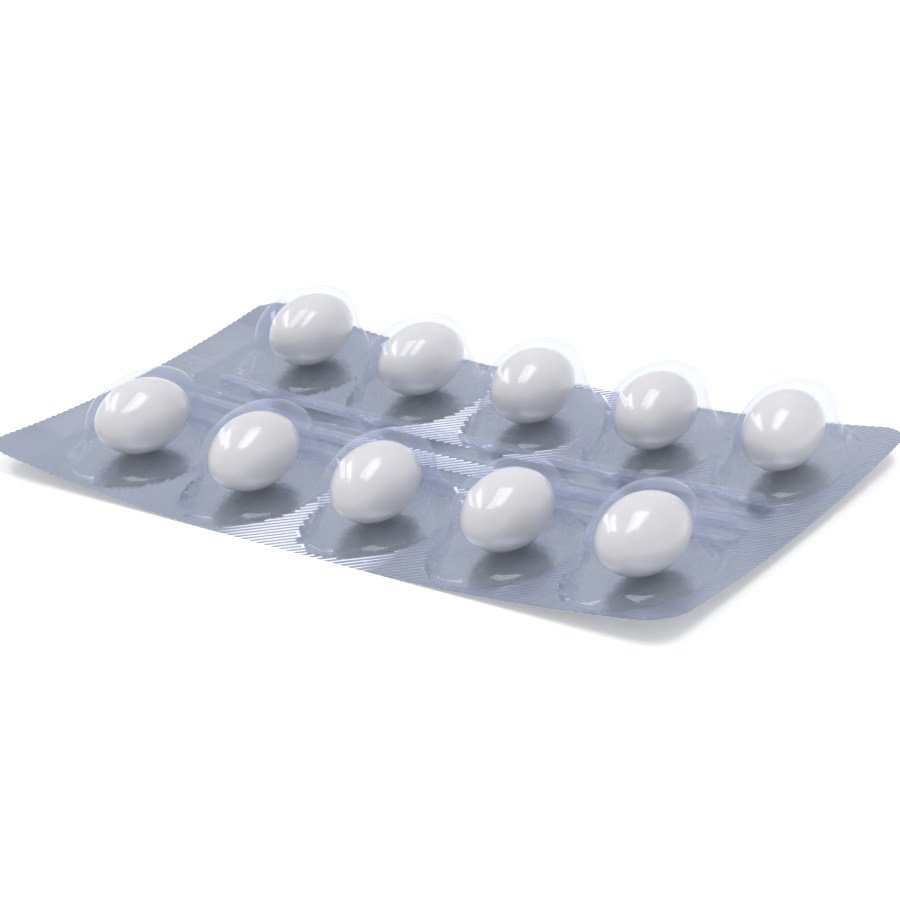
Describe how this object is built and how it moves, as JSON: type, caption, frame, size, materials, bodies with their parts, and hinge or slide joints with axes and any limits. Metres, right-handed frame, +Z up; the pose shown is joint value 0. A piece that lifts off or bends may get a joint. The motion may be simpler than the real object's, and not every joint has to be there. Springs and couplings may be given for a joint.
{
  "type": "pill blister pack",
  "caption": "Push-through blister pack: clear formed film with domed wells in two rows, each holding a soft oval capsule, sealed by a knurled aluminium foil backing.",
  "frame": {"origin": "centre of the card's outline, on the flat middle of the foil's underside", "axes": "+X along the card's long side, towards the end where the last wells come nearest the edge; +Y across the card, towards the back row of wells; +Z up, from the foil to the domes"},
  "size_m": [0.126, 0.076, 0.0153],
  "materials": {
    "clear_film": "clear, smooth on the domes and ribs, diamond knurl on the sealed flats",
    "foil": "bright, with the seal's diamond knurl",
    "soft_shell": "pearly white, smooth, soft sheen"
  },
  "bodies": {
    "root": {"forming_film": "clear_film", "lidding_foil": "foil", "capsule_front_1": "soft_shell", "capsule_front_2": "soft_shell", "capsule_front_3": "soft_shell", "capsule_front_4": "soft_shell", "capsule_front_5": "soft_shell", "capsule_back_1": "soft_shell", "capsule_back_2": "soft_shell", "capsule_back_3": "soft_shell", "capsule_back_4": "soft_shell", "capsule_back_5": "soft_shell"}
  },
  "joints": []
}
